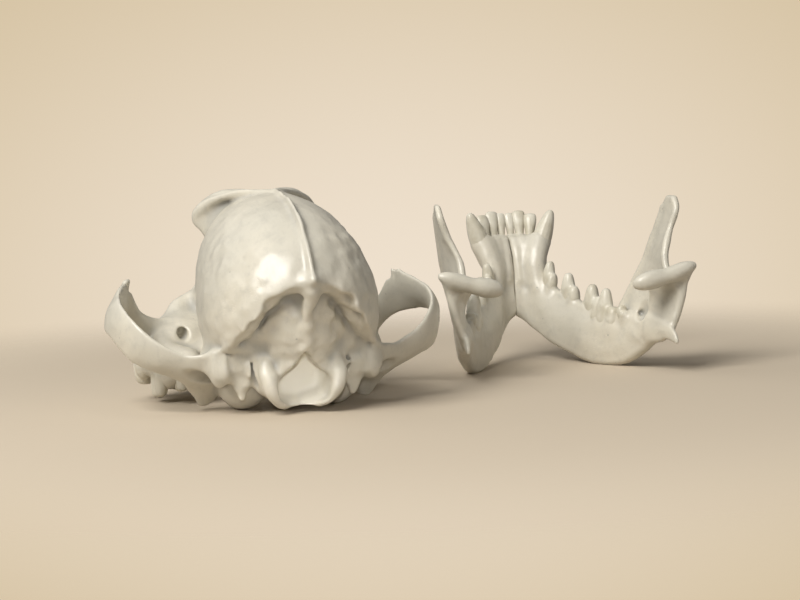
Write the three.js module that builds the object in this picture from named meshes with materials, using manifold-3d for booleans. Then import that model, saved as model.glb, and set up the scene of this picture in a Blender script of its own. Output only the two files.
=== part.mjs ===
// The skull of a short-faced dog at life size: the cranium and the two halves of the lower jaw,
// lying side by side on a table. Millimetres, nose towards +Y, the animal's right side at +X, table at z = 0.
import * as THREE from 'three';
import { mergeVertices } from 'three/addons/utils/BufferGeometryUtils.js';
import Module from 'manifold-3d';

const wasm = await Module();
wasm.setup();

// Driving dimensions
const zygomaticBreadth = 114;
const craniumHeight = 70;
const brainBreadth = 61;
const jawLength = 91;
const partingGap = 0.35;
const tableDip = 0.4;
const mandiblePlace = { x: 104.9, y: 37.7, turn: -4.8 };

// Landmarks of the cranium, right side and midline
const inion = [0, -14, 43];
const opisthion = [0, -0.8, 20.7];
const basion = [0, 7, 3.5];
const nasion = [0, 79, 52];
const rhinion = [0, 91, 44];
const prosthion = [0, 100, 25];
const browTip = [21.6, 66, 60.2];
const cheekTip = [45.6, 58.5, 40.3];
const bullaCentre = [15, 25, 7.6];
const orbitCentre = [34, 75, 45];

const bone = new THREE.MeshStandardMaterial({ color: 0xd6ceba, roughness: 0.55, metalness: 0 });

// Geometry helpers
const mirrored = ([x, y, z], side) => [x * side, y, z];
const vector = (point) => new THREE.Vector3(...point);

function solid(geometry) {
  geometry.deleteAttribute('normal');
  geometry.deleteAttribute('uv');
  const merged = mergeVertices(geometry, 1e-4);
  return new wasm.Manifold(new wasm.Mesh({
    numProp: 3,
    vertProperties: new Float32Array(merged.attributes.position.array),
    triVerts: new Uint32Array(merged.index.array),
  }));
}

const joined = (...solids) => solids.reduce((all, one) => all.add(one));
const cut = (body, ...tools) => tools.reduce((left, tool) => left.subtract(tool), body);

function ball(centre, radii, { pitch = 0, yaw = 0, around = 12, along = 7 } = {}) {
  const geometry = new THREE.SphereGeometry(1, around, along);
  geometry.scale(...radii);
  geometry.rotateX(THREE.MathUtils.degToRad(pitch));
  geometry.rotateZ(THREE.MathUtils.degToRad(yaw));
  geometry.translate(...centre);
  return solid(geometry);
}

function box(corner, opposite, grow = 0) {
  const range = new THREE.Box3().setFromPoints([vector(corner), vector(opposite)]).expandByScalar(grow);
  const geometry = new THREE.BoxGeometry(...range.getSize(new THREE.Vector3()).toArray());
  geometry.translate(...range.getCenter(new THREE.Vector3()).toArray());
  return solid(geometry);
}

// A plate of lens-shaped section between two edge curves: each row is [edge, other edge, half thickness].
function blade(rows) {
  const upper = new THREE.CatmullRomCurve3(rows.map(([edge]) => vector(edge)));
  const lower = new THREE.CatmullRomCurve3(rows.map(([, edge]) => vector(edge)));
  const steps = rows.length - 1;
  const geometry = new THREE.CylinderGeometry(1, 1, 1, 8, steps);
  const spot = geometry.attributes.position;
  for (let i = 0; i < spot.count; i += 1) {
    const t = THREE.MathUtils.clamp(0.5 - spot.getY(i), 0, 1);
    const row = Math.min(Math.floor(t * steps), steps - 1);
    const half = THREE.MathUtils.lerp(rows[row][2], rows[row + 1][2], t * steps - row);
    const top = upper.getPoint(t);
    const bottom = lower.getPoint(t);
    const run = upper.getTangent(t).add(lower.getTangent(t));
    const wide = top.clone().sub(bottom).multiplyScalar(0.5);
    const thick = new THREE.Vector3().crossVectors(run, wide).setLength(half);
    const middle = top.add(bottom).multiplyScalar(0.5);
    middle.addScaledVector(wide, spot.getX(i)).addScaledVector(thick, spot.getZ(i));
    spot.setXYZ(i, middle.x, middle.y, middle.z);
  }
  return solid(geometry);
}

// A skin over cross-sections along Y: each row is [y, top, level of the widest point, bottom, half width].
function loft(rows) {
  const points = (column) => rows.map((row) => vector([row[0], row[column], row[4]]));
  const curve = (column) => new THREE.CatmullRomCurve3(points(column));
  const [topLine, waistLine, bottomLine] = [curve(1), curve(2), curve(3)];
  const geometry = new THREE.CylinderGeometry(1, 1, 1, 18, rows.length - 1);
  const spot = geometry.attributes.position;
  for (let i = 0; i < spot.count; i += 1) {
    const t = THREE.MathUtils.clamp(0.5 - spot.getY(i), 0, 1);
    const waist = waistLine.getPoint(t);
    const reach = spot.getX(i) > 0 ? topLine.getPoint(t).y - waist.y : waist.y - bottomLine.getPoint(t).y;
    spot.setXYZ(i, spot.getZ(i) * waist.z, waist.x, waist.y + spot.getX(i) * reach);
  }
  return solid(geometry);
}

// A round bar through the points: each row is [point, radius], with the section's width along `across`.
function rod(rows, across) {
  const edge = (point, reach) => point.map((value, axis) => value + reach * across[axis]);
  return blade(rows.map(([point, radius]) => [edge(point, radius), edge(point, -radius), radius]));
}

// A crown on its neck: a lathe turned about its own axis, flattened to length by width and leaned over.
function tooth({ at, long, wide, tall, lean = [0, 0, 1], turn = 0 }) {
  const profile = [[0, -0.5], [1, 0.1], [0.72, 0.62], [0, 1]];
  const points = profile.map(([radius, height]) => new THREE.Vector2(radius, height * tall));
  const geometry = new THREE.LatheGeometry(points, 6);
  geometry.rotateX(Math.PI / 2);
  geometry.scale(wide, long, 1);
  geometry.rotateZ(THREE.MathUtils.degToRad(turn));
  const axis = vector(lean).normalize();
  const lay = new THREE.Quaternion().setFromUnitVectors(new THREE.Vector3(0, 0, 1), axis);
  geometry.applyQuaternion(lay);
  geometry.translate(...at);
  return solid(geometry);
}

const bothSides = (make) => joined(make(1), make(-1));

function flipRows(rows, side) {
  return rows.map(([upper, lower, half]) => [mirrored(upper, side), mirrored(lower, side), half]);
}

// A row that starts on the right, crosses the midline at its last entry and returns on the left
const acrossMidline = (rows) => [...rows, ...flipRows(rows.slice(0, -1).reverse(), -1)];

// Braincase, forehead and nose as one skin, from the back of the head to the nostrils
function vault() {
  const half = brainBreadth / 2;
  return loft([
    [inion[1], inion[2] + 1, inion[2] - 1, inion[2] - 5, 3],
    [-7, 52, 38, 25, 14],
    [1, 59.5, 35, 16, 22],
    [12, 64.8, 31, 9, 28],
    [24, 67.6, 29, 6, half],
    [36, craniumHeight - 0.8, 31, 8.5, 28.6],
    [46, craniumHeight - 0.6, 36, 10, 25],
    [54, craniumHeight - 1, 42, 12, 19.5],
    [62, craniumHeight - 1.6, 45, 13.5, 17],
    [70, 66.4, 44, 15, 17],
    [nasion[1] - 3, 62, 38, 16, 19.5],
    [nasion[1] + 3, nasion[2] + 1, 33, 18, 22],
    [88, rhinion[2] + 3, 31, 20, 20.5],
    [94, 40, 30, 22, 16],
    [prosthion[1] - 1, 33, 28, 24, 8],
  ]);
}

function sagittalCrest() {
  return blade([
    [inion, [0, -6, 38], 1.3],
    [[0, -9.8, 49.5], [0, -2, 44], 1.3],
    [[0, -5.2, 54.8], [0, 1, 49], 1.2],
    [[0, 1.9, 61.4], [0, 6, 55], 1.2],
    [[0, 10.7, 66], [0, 13, 59], 1.1],
    [[0, 22.6, 69], [0, 23, 62], 1],
    [[0, 36, craniumHeight - 0.4], [0, 36, 64], 0.9],
  ]);
}

function nuchalCrest() {
  return blade(acrossMidline([
    [[28, 12, 20.4], [24, 16, 16], 1.8],
    [[20.2, 2.2, 26.4], [17, 9, 24], 1.6],
    [[13.3, -3.6, 35], [11, 4, 32], 1.5],
    [[6, -9, 41], [5, -1, 37], 1.5],
    [inion, [0, -4, 38], 1.5],
  ]));
}

function brow(side) {
  return blade(flipRows([
    [[3, 64, 66.4], [4, 50, 65.6], 3.4],
    [[13, 66.4, 67.2], [12, 55, 67.4], 3],
    [[18.6, 67.6, 64.4], [17.6, 60.4, 64.6], 2.2],
    [browTip, [20.8, 63.5, 61], 1.2],
  ], side));
}

// Floor of the skull, ear bulla and the processes round it
function skullBase() {
  return joined(
    ball([0, 20, 8], [12.5, 16, 5.8]),
    ball([0, 42, 15], [11.5, 19, 6.5], { pitch: 8 }),
  );
}

function earRegion(side) {
  const flip = (point) => mirrored(point, side);
  return joined(
    ball(flip(bullaCentre), [8.2, 9.6, bullaCentre[2] + tableDip], { yaw: -18 * side }),
    ball(flip([20, 21, 17]), [12.5, 10.5, 8]),
    ball(flip([24, 13.5, 15]), [4.4, 5.2, 6.8], { around: 8, along: 6 }),
    rod([[flip([19.5, 11, 18]), 3], [flip([18.4, 11.6, 9]), 2.3], [flip([18, 12, 3.4]), 1.4]], [1, 0, 0]),
    blade(flipRows([
      [[20.5, 24, 13], [35, 23.5, 14], 3.2],
      [[22, 28, 7.4], [33, 27.5, 8], 2.4],
      [[24.4, 31, 2.8], [30, 30.8, 3], 1.5],
    ], side)),
  );
}

function condyle(side) {
  const flip = (point) => mirrored(point, side);
  return rod([
    [flip([10.6, 9.5, 18]), 2.6],
    [flip([11, 4.6, 12.8]), 3.4],
    [flip([9.6, 4, 7.6]), 3.4],
    [flip([5.6, 6.6, 4.4]), 2.7],
    [flip([1.5, 9, 4.4]), 2.2],
  ], [0, 1, 0]);
}

// Zygomatic arch: upper edge, lower edge and half thickness from its root at the ear to the cheek
function arch(side) {
  const reach = zygomaticBreadth / 2;
  return blade(flipRows([
    [[21, 12, 20], [24, 27, 9], 3.4],
    [[28.5, 13.7, 19.8], [31, 25.5, 8.6], 2.8],
    [[41.5, 19.6, 23.6], [43, 24.8, 14.4], 2.2],
    [[47.4, 24, 28.8], [reach - 8.2, 28, 17], 2.2],
    [[reach - 5.6, 36, 35.2], [reach - 2.6, 38, 24.8], 2.2],
    [[reach - 6.6, 44.5, 37.4], [reach - 3, 45.5, 27.1], 2.2],
    [[48, 52, 39], [50.8, 53.5, 27.2], 2.2],
    [cheekTip, [46, 59.5, 25.4], 2],
    [[42, 63.4, 31], [41.6, 62.4, 20.4], 2.4],
    [[35, 69, 27], [36, 64, 13.5], 3.4],
    [[29, 73, 25], [31.5, 66, 12], 4],
  ], side));
}

// Upper jaw: the tooth-bearing arch rises towards the nose, as in all short-faced dogs
function toothArch() {
  return blade(acrossMidline([
    [[29.4, 43.5, 16], [30.6, 45.5, 7.4], 3.2],
    [[32, 54, 18], [34, 55, 7.4], 4.8],
    [[33, 66, 23], [35.6, 66.5, 11], 4.8],
    [[28.6, 76, 27], [30.6, 77.5, 15], 4.6],
    [[22.6, 86.5, 31], [23.4, 88.4, 19.4], 5],
    [[11.4, 93.4, 34], [11.6, 97, 23.4], 4.4],
    [[0, 94.6, 35], prosthion, 4],
  ]));
}

function muzzle() {
  return joined(
    ball([0, 72, 21], [30.5, 25, 6], { pitch: 19 }),
    toothArch(),
    bothSides((side) => ball([27 * side, 72, 24], [9.8, 12, 8.6], { yaw: 12 * side })),
    bothSides((side) => blade(flipRows([
      [[11.4, 62, 20], [11.2, 50, 16], 1.8],
      [[11.2, 54, 12], [11, 45, 9], 1.5],
      [[10.8, 49, 6.4], [10.6, 43.6, 5.4], 1.1],
    ], side))),
  );
}

const upperTeeth = [
  { at: [2.3, 100, 25], long: 2, wide: 2.1, tall: 7, lean: [0, 0.3, -1] },
  { at: [6.8, 98.8, 24.6], long: 2.2, wide: 2.2, tall: 7.4, lean: [0.1, 0.3, -1] },
  { at: [11.6, 96.4, 23.6], long: 2.7, wide: 2.5, tall: 8.6, lean: [0.25, 0.25, -1] },
  { at: [19.6, 91.4, 21.6], long: 4.2, wide: 3.2, tall: 14, lean: [0.3, 0.12, -1] },
  { at: [25, 86, 19.4], long: 3.2, wide: 2.1, tall: 5.4, lean: [0.1, 0, -1], turn: 40 },
  { at: [29, 79.6, 16.6], long: 3.9, wide: 2.3, tall: 6.6, lean: [0.1, 0, -1], turn: 28 },
  { at: [35.8, 68, 12], long: 7, wide: 3.2, tall: 8.4, lean: [0.12, 0, -1], turn: 10 },
  { at: [34.6, 56.6, 8], long: 4.8, wide: 5, tall: 7, lean: [0.1, 0, -1] },
  { at: [31, 48, 7.8], long: 2.8, wide: 3.8, tall: 4.4, lean: [0.05, 0, -1] },
];

const lowerTeeth = [
  { at: [1.8, 91.6, 46], long: 1.7, wide: 1.7, tall: 9.6, lean: [0, 0.26, 1] },
  { at: [5.4, 91.2, 46], long: 1.9, wide: 1.8, tall: 10, lean: [0.02, 0.26, 1] },
  { at: [8.9, 88, 43.6], long: 2, wide: 2, tall: 11, lean: [0.08, 0.3, 1] },
  { at: [12.6, 85.6, 42], long: 3.6, wide: 3.1, tall: 13, lean: [0.32, 0.1, 1] },
  { at: [13.2, 76, 28.6], long: 2.7, wide: 1.8, tall: 6.4, lean: [0.05, 0, 1], turn: 20 },
  { at: [17.2, 66.6, 23.8], long: 3.5, wide: 2, tall: 6.9, lean: [0, 0.06, 1], turn: 22 },
  { at: [22, 56, 20.4], long: 4.2, wide: 2.3, tall: 7, lean: [0, 0.05, 1], turn: 22 },
  { at: [25.8, 46.6, 17.4], long: 5.6, wide: 2.8, tall: 9, lean: [0, 0, 1], turn: 20 },
  { at: [28.8, 39.4, 18], long: 3, wide: 2.2, tall: 3.4, lean: [0, 0, 1], turn: 18 },
];

const dentition = (teeth, side) => joined(...teeth.map((crown) => tooth({
  ...crown,
  at: mirrored(crown.at, side),
  lean: mirrored(crown.lean, side),
  turn: (crown.turn ?? 0) * side,
})));

// Hollows of the cranium: orbits, jaw joints, back of the skull, foramen magnum, nose and throat
function occipitalHollow(side) {
  const radius = 80;
  const sink = 2;
  const normal = vector([0.307 * side, -0.834, -0.459]);
  const centre = vector([12 * side, -1, 28]).addScaledVector(normal, radius - sink);
  return ball(centre.toArray(), [radius, radius, radius], { around: 22, along: 12 });
}

function foramenMagnum() {
  const halfWidth = 8.8;
  const middle = (basion[2] + opisthion[2]) / 2 - 0.8;
  return joined(
    ball([0, 0, middle], [halfWidth, 17, middle - basion[2]]),
    ball([0, 0, opisthion[2] - 4.6], [2.4, 12, 4.6], { around: 8, along: 6 }),
  );
}

function openings(side) {
  const flip = (point) => mirrored(point, side);
  return joined(
    ball(flip(orbitCentre), [16.5, 16.5, 15], { yaw: -15 * side }),
    ball(flip([26.5, 61, 43]), [9, 12, 15]),
    rod([[flip([23, 37.5, 6.6]), 5.6], [flip([34, 33.5, 7]), 5.4], [flip([46, 34.6, 10.6]), 4.6]], [0, 0, 1]),
    rod([[flip([34, 17, 11.5]), 3], [flip([22, 21.5, 11.2]), 2.6]], [0, 0, 1]),
    rod([[flip([29, 94, 21]), 2.8], [flip([27, 84, 23.4]), 2.4], [flip([25, 63, 24]), 2.8]], [0, 0, 1]),
  );
}

function airways() {
  return joined(
    ball([0, rhinion[1] + 6, 37], [8.8, 13, 9.4], { pitch: 28 }),
    rod([[[0, 38, 5.5], 5.5], [[0, 52, 9.5], 6.6], [[0, 64, 16], 5]], [1, 0, 0]),
  );
}

const table = (reach) => box([-reach, -reach, -reach], [reach, reach, 0]);

function cranium() {
  const shell = joined(vault(), skullBase(), muzzle());
  const hollowed = cut(shell, bothSides(openings), airways());
  const backed = cut(joined(hollowed, bothSides(earRegion)), bothSides(occipitalHollow));
  const rimmed = joined(
    backed,
    ball([0, 11, 13.5], [21, 7.6, 10.5], { around: 16, along: 10 }),
    ball([0, 5, 29], [7, 9, 12], { pitch: 26 }),
    nuchalCrest(),
    sagittalCrest(),
    bothSides(condyle),
    bothSides(brow),
    bothSides(arch),
    bothSides((side) => dentition(upperTeeth, side)),
  );
  return cut(rimmed, foramenMagnum(), table(2 * zygomaticBreadth));
}

// Thin cuts that part the cranium into its named regions
function archZone(side, grow) {
  const rear = box([36 * side, -14, 8], [62 * side, 46, 48], grow);
  const front = box([40 * side, 45, 18.6], [62 * side, 69, 48], grow);
  return joined(rear, front);
}

function beyond(point, pitch, heading, grow) {
  const reach = 2 * zygomaticBreadth;
  const geometry = new THREE.BoxGeometry(reach, reach, reach);
  geometry.translate(0, heading * (reach / 2 - grow), 0);
  geometry.rotateX(THREE.MathUtils.degToRad(pitch));
  geometry.translate(...point);
  return solid(geometry);
}

const occiputZone = (grow) => beyond([0, 4.6, 26], 24, -1, grow);
const jawZone = (grow) => joined(
  beyond([0, 66, 42], -25, 1, grow),
  box([-50, 40.5, -16], [50, 130, 24], grow),
);

// Lower jaw: body from the chin to the cheek teeth, and the ramus with its three processes
function mandibleHalf(side) {
  const chin = jawLength - 9.5;
  const bodyRows = [
    [[0, chin + 9, 45], [0, chin, 18], 4.6],
    [[6, chin + 8, 45.4], [5, chin - 3, 14.6], 4.9],
    [[11.4, 85, 42.5], [9.4, 73.5, 10.2], 5],
    [[13.6, 76.5, 28.6], [13, 66.5, 6.4], 4.6],
    [[17.6, 66.6, 23.8], [16.6, 60, 3.4], 4.5],
    [[22.4, 55.5, 20.6], [20.6, 51.5, 0.6], 4.6],
    [[26, 46.5, 17.6], [25, 44, -tableDip], 4.4],
    [[29.4, 39.5, 18.4], [29, 37, 0.8], 3.8],
    [[33, 30, 18], [33, 27.5, 5.8], 3.2],
    [[35, 21, 18], [35.4, 17, 10.4], 2.8],
  ];
  const ramusRows = [
    [[28.6, 46, 14], [34, 18, 11], 2.8],
    [[32.8, 43.3, 24], [36.5, 10.5, 22], 2.4],
    [[36.5, 38.4, 34], [37, 9.5, 32], 2.1],
    [[39, 35, 43], [37.2, 13.4, 42], 1.7],
    [[40.9, 30, 52], [40.6, 17.6, 51], 1.4],
    [[42.6, 24.6, 59.4], [43.2, 19.6, 58.6], 0.9],
  ];
  const flip = (point) => mirrored(point, side);
  const whole = joined(
    blade(flipRows(bodyRows, side)),
    blade(flipRows(ramusRows, side)),
    rod([
      [flip([22.4, 8.6, 30.4]), 1.4],
      [flip([25, 8.4, 31]), 3],
      [flip([30, 8.2, 32.2]), 3.8],
      [flip([37, 8, 33.8]), 3.9],
      [flip([42.4, 8, 35.3]), 3.2],
      [flip([46, 8, 36.3]), 1.4],
    ], [0, 0, 1]),
    rod([[flip([36, 11, 33]), 4.2], [flip([36.4, 12, 24]), 4]], [0, 1, 0]),
    rod([[flip([33, 22, 12]), 3.6], [flip([35.6, 12, 12]), 3], [flip([37, 4.4, 13.4]), 1.6]], [0, 0, 1]),
    dentition(lowerTeeth, side),
  );
  const reach = 2 * jawLength;
  const otherHalf = box([partingGap / 2 * side, -reach, -reach], [-reach * side, reach, reach]);
  return cut(whole, otherHalf, table(reach));
}

function mesh(name, body) {
  const { vertProperties, triVerts } = body.getMesh();
  const geometry = new THREE.BufferGeometry();
  geometry.setAttribute('position', new THREE.BufferAttribute(new Float32Array(vertProperties), 3));
  geometry.setIndex(new THREE.BufferAttribute(new Uint32Array(triVerts), 1));
  geometry.computeVertexNormals();
  const node = new THREE.Mesh(geometry, bone.clone());
  node.name = name;
  return node;
}

const whole = cranium();
const sides = { right: 1, left: -1 };
const craniumGroup = new THREE.Group();
const mandibleGroup = new THREE.Group();
for (const [name, side] of Object.entries(sides)) {
  craniumGroup.add(mesh(`zygomatic_arch_${name}`, whole.intersect(archZone(side, 0))));
  mandibleGroup.add(mesh(`mandible_${name}`, mandibleHalf(side)));
}
const core = cut(whole, bothSides((side) => archZone(side, partingGap)));
craniumGroup.add(mesh('occiput', core.intersect(occiputZone(0))));
const front = cut(core, occiputZone(partingGap));
craniumGroup.add(mesh('upper_jaw', front.intersect(jawZone(0))));
craniumGroup.add(mesh('braincase', cut(front, jawZone(partingGap))));
mandibleGroup.position.set(mandiblePlace.x, mandiblePlace.y, 0);
mandibleGroup.rotation.z = THREE.MathUtils.degToRad(mandiblePlace.turn);

// The part's origin lies on the table below the middle of the whole group
const skull = new THREE.Group();
skull.add(craniumGroup, mandibleGroup);
const middle = new THREE.Box3().setFromObject(skull, true).getCenter(new THREE.Vector3());
skull.position.set(-middle.x, -middle.y, 0);

export default skull;
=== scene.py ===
import math

import bpy
import numpy as np
import openvdb
from mathutils import Matrix, Vector


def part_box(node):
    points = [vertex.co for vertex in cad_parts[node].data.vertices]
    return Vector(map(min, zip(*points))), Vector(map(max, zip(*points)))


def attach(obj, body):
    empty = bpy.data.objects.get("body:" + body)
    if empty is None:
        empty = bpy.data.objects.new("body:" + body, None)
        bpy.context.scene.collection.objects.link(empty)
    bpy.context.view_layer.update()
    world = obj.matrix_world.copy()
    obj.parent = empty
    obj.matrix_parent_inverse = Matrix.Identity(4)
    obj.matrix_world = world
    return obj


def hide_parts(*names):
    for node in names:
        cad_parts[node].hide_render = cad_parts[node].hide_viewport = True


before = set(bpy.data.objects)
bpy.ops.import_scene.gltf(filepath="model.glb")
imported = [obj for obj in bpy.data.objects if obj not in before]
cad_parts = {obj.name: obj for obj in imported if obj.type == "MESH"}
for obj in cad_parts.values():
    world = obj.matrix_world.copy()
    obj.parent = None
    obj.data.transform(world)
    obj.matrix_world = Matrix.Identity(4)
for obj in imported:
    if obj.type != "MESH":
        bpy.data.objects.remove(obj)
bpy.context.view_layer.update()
bpy.ops.object.select_all(action="DESELECT")
print("frame loaded")

# The bones are shaped in millimetres, each in its own axes, and meshed in metres in the frame
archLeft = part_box("zygomatic_arch_left")
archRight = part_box("zygomatic_arch_right")
inionBack = 14.0  # mm from the cranium's own zero back to the inion
craniumShift = Vector((
    (archLeft[0].x + archRight[1].x) / 2,
    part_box("occiput")[0].y + inionBack / 1000,
    0,
))
jawPlace = {"x": 104.9, "y": 37.7, "turn": -4.8}
inMillimetres = Matrix.Scale(0.001, 4)
craniumMatrix = Matrix.Translation(craniumShift) @ inMillimetres
jawMatrix = (
    craniumMatrix
    @ Matrix.Translation((jawPlace["x"], jawPlace["y"], 0))
    @ Matrix.Rotation(math.radians(jawPlace["turn"]), 4, "Z")
)

# Camera
cameraFit = {
    "heading": 16.5,
    "down": 4.5,
    "roll": 1.8,
    "lens": 90.0,
    "at": (-146.389, -598.591, 83.559),  # mm, in the cranium's axes
}


def aimCamera(fit):
    heading, down, roll = (math.radians(fit[k]) for k in ("heading", "down", "roll"))
    forward = Vector((math.sin(heading), math.cos(heading), 0))
    ahead = forward * math.cos(down) - Vector((0, 0, math.sin(down)))
    level = Vector((math.cos(heading), -math.sin(heading), 0))
    upright = level.cross(ahead)
    right = level * math.cos(roll) - upright * math.sin(roll)
    up = upright * math.cos(roll) + level * math.sin(roll)
    camera = bpy.data.objects.new("camera", bpy.data.cameras.new("camera"))
    bpy.context.scene.collection.objects.link(camera)
    camera.data.sensor_width = 36
    camera.data.lens = fit["lens"]
    camera.data.clip_end = 50
    camera.matrix_world = Matrix((right, up, -ahead)).transposed().to_4x4()
    camera.location = craniumMatrix @ Vector(fit["at"])
    bpy.context.scene.camera = camera


aimCamera(cameraFit)
print("camera aimed")


# Clay: a block of distances that shapes are pressed on to and carved out of, with soft seams
def smoothMin(a, b, blend):
    gap = np.maximum(blend - np.abs(a - b), 0)
    return np.minimum(a, b) - gap * gap / (4 * blend)


def curve(rows, steps):
    p = np.array(rows, float)
    q = np.vstack([2 * p[0] - p[1], p, 2 * p[-1] - p[-2]])
    out = []
    for a, b, c, d in zip(q[:-3], q[1:-2], q[2:-1], q[3:]):
        for t in np.arange(steps) / steps:
            bend = (2 * a - 5 * b + 4 * c - d) * t ** 2 + (3 * b - a - 3 * c + d) * t ** 3
            out.append(b + 0.5 * ((c - a) * t + bend))
    return np.array(out + [p[-1]])


def ball(centre, radii, pitch=0, yaw=0, roll=0, low=None):
    c = np.array(centre, float)
    turns = Matrix.Rotation(math.radians(yaw), 3, "Z") @ Matrix.Rotation(math.radians(pitch), 3, "X")
    m = np.array(turns @ Matrix.Rotation(math.radians(roll), 3, "Y"))
    high = np.array(radii, float)
    low = np.array(low or radii, float)  # radii on the far side of the centre

    def far(x, y, z):
        whole, slope = 0, 1e-9
        for i in range(3):
            q = (x - c[0]) * m[0, i] + (y - c[1]) * m[1, i] + (z - c[2]) * m[2, i]
            r = high[i] if high[i] == low[i] else np.where(q > 0, high[i], low[i])
            whole = whole + (q / r) ** 2
            slope = slope + (q / r ** 2) ** 2
        whole = np.sqrt(whole)
        return whole * (whole - 1) / np.sqrt(slope)

    reach = np.abs(m) @ np.maximum(high, low)
    return c - reach, c + reach, far


def rope(rows, steps=5):
    s = curve(rows, steps)  # x, y, z, radius

    def far(x, y, z):
        best = 1e3
        for a, b in zip(s[:-1], s[1:]):
            d = b - a
            px, py, pz = x - a[0], y - a[1], z - a[2]
            t = np.clip((px * d[0] + py * d[1] + pz * d[2]) / (d[:3] @ d[:3] + 1e-9), 0, 1)
            gap = np.sqrt((px - t * d[0]) ** 2 + (py - t * d[1]) ** 2 + (pz - t * d[2]) ** 2)
            best = np.minimum(best, gap - (a[3] + t * d[3]))
        return best

    return (s[:, :3] - s[:, 3:]).min(0), (s[:, :3] + s[:, 3:]).max(0), far


def blade(rows, rim=0.7, steps=9):
    # a plate between two edges, thick in the middle and as thin as the rim at its edges
    s = curve([(*upper, *lower, half) for upper, lower, half in rows], steps)
    mid = (s[:, :3] + s[:, 3:6]) / 2
    wide = (s[:, :3] - s[:, 3:6]) / 2
    reach = np.linalg.norm(wide, axis=1)
    wide = wide / reach[:, None]
    thick = s[:, 6]

    def far(x, y, z):
        best = 1e3
        for i in range(len(s) - 1):
            d = mid[i + 1] - mid[i]
            px, py, pz = x - mid[i, 0], y - mid[i, 1], z - mid[i, 2]
            t = np.clip((px * d[0] + py * d[1] + pz * d[2]) / (d @ d + 1e-9), 0, 1)
            px, py, pz = px - t * d[0], py - t * d[1], pz - t * d[2]
            w = [wide[i, k] + t * (wide[i + 1, k] - wide[i, k]) for k in range(3)]
            h = np.maximum(reach[i] + t * (reach[i + 1] - reach[i]), rim + 0.05)
            g = np.clip(px * w[0] + py * w[1] + pz * w[2], rim - h, h - rim)
            body = thick[i] + t * (thick[i + 1] - thick[i])
            skin = rim + (body - rim) * (1 - (g / h) ** 2)
            gap = np.sqrt((px - g * w[0]) ** 2 + (py - g * w[1]) ** 2 + (pz - g * w[2]) ** 2)
            best = np.minimum(best, gap - skin)
        return best

    edges = np.vstack([s[:, :3], s[:, 3:6]])
    room = thick.max()
    return edges.min(0) - room, edges.max(0) + room, far


def doorway(rows, still, climb, deep):
    # a passage along y with half widths by height; beyond `still` its floor climbs
    heights, halves = (np.array(column, float) for column in zip(*rows))

    def far(x, y, z):
        level = z - climb * np.maximum(y - still, 0)
        gap = 0.75 * (np.abs(x) - np.interp(level, heights, halves))
        return -smoothMin(-gap, deep - y, 3.0)

    return (0, -20, heights[0]), (halves.max(), deep, heights[-1] + climb * (deep - still)), far


def under(line, shape):
    # the part of a shape that lies behind and below a line across the skull
    across, back, level = (np.array(column, float) for column in zip(*line))

    def far(x, y, z):
        drop = 0.4 * (y - np.interp(x, across, back)) + 0.92 * (z - np.interp(x, across, level))
        return np.maximum(shape[2](x, y, z), drop)

    return shape[0], shape[1], far


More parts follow.
